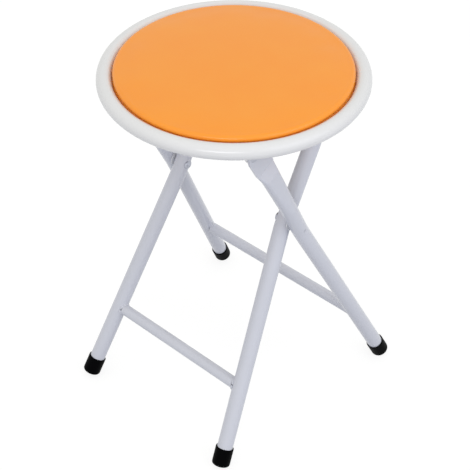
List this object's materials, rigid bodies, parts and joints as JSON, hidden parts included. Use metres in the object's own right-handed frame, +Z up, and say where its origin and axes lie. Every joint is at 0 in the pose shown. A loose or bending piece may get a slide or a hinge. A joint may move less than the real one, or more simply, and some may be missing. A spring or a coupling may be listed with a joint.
{
  "type": "folding stool",
  "caption": "Round folding stool: padded vinyl seat in a tube ring on crossing steel tube legs that close like scissors while the seat flips up.",
  "frame": {"origin": "on the floor at the centre of the open stool's footprint", "axes": "+Z up; X along the pivot and hinge axes; +Y towards the feet of the outer frame"},
  "size_m": [0.3018, 0.3081, 0.45],
  "materials": {
    "white_coated_steel": "white powder coat, semi-gloss",
    "orange_vinyl": "soft PVC sheet, fine grain, semi-gloss",
    "foot_cap_plastic": "black soft PVC, moulded",
    "white_nylon": "moulded nylon",
    "zinc_steel": "zinc plated",
    "fibreboard": "raw medium-density fibreboard",
    "foam": "polyurethane foam"
  },
  "bodies": {
    "outer_frame": {"outer_leg_left": "white_coated_steel", "outer_leg_right": "white_coated_steel", "outer_rail": "white_coated_steel", "outer_foot_cap_left": "foot_cap_plastic", "outer_foot_cap_right": "foot_cap_plastic", "hinge_rivet_left": "zinc_steel", "hinge_rivet_right": "zinc_steel"},
    "inner_frame": {"inner_leg_left": "white_coated_steel", "inner_leg_right": "white_coated_steel", "inner_rail": "white_coated_steel", "inner_top_bar": "white_coated_steel", "inner_foot_cap_left": "foot_cap_plastic", "inner_foot_cap_right": "foot_cap_plastic", "inner_top_plug_left": "white_nylon", "inner_top_plug_right": "white_nylon", "pivot_rivet_left": "zinc_steel", "pivot_rivet_right": "zinc_steel", "pivot_washer_left": "white_nylon", "pivot_washer_right": "white_nylon"},
    "seat": {"seat_ring": "white_coated_steel", "rear_strap": "white_coated_steel", "front_strap": "white_coated_steel", "hinge_bracket_left": "white_coated_steel", "hinge_bracket_right": "white_coated_steel", "catch_block_left": "white_nylon", "catch_block_right": "white_nylon", "strap_screws": "zinc_steel", "catch_screws": "zinc_steel", "seat_board": "fibreboard", "seat_foam": "foam", "seat_cover": "orange_vinyl"}
  },
  "joints": [
    {"name": "leg_fold", "type": "hinge", "parent": "outer_frame", "child": "inner_frame", "pos_m": [0, 0.00076, 0.27642], "axis": [1, 0, 0], "range_deg": [0, 49]},
    {"name": "seat_fold", "type": "hinge", "parent": "outer_frame", "child": "seat", "pos_m": [0, -0.07288, 0.41348], "axis": [1, 0, 0], "range_deg": [0, 112]}
  ],
  "couplings": [
    {"joint": "seat_fold", "follows": "leg_fold", "ratio": 2.28}
  ]
}
